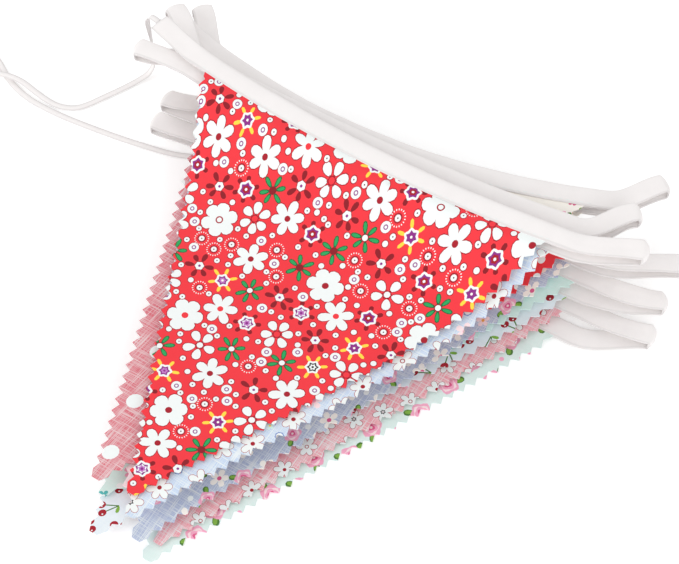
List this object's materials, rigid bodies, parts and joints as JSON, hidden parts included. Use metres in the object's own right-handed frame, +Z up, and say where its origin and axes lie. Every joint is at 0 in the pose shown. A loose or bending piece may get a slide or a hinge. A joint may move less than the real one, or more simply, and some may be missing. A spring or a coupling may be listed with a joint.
{
  "type": "fabric bunting",
  "caption": "Pinked triangular cloth flags on a folded white tape, laid up in a back-and-forth stack with thin ribbon ties running out to one side.",
  "frame": {"origin": "middle of the box round the flags and the tape, on the surface that the stack lies on", "axes": "+X along the headings towards the right end of the top flag, +Y from the flag points towards the tape, +Z up out of the stack"},
  "size_m": [0.371, 0.2752, 0.0523],
  "materials": {
    "flag_01": "matte",
    "flag_02": "matte",
    "flag_03": "matte",
    "flag_04": "matte",
    "flag_05": "matte",
    "flag_06": "matte",
    "flag_07": "matte",
    "flag_08": "matte",
    "flag_09": "matte",
    "flag_10": "matte",
    "flag_11": "matte",
    "flag_12": "matte",
    "tape": "matte",
    "tie": "satin"
  },
  "bodies": {
    "root": {"flag_01": "flag_01", "flag_02": "flag_02", "flag_03": "flag_03", "flag_04": "flag_04", "flag_05": "flag_05", "flag_06": "flag_06", "flag_07": "flag_07", "flag_08": "flag_08", "flag_09": "flag_09", "flag_10": "flag_10", "flag_11": "flag_11", "flag_12": "flag_12", "tape": "tape", "tie_upper": "tie", "tie_lower": "tie"}
  },
  "joints": []
}
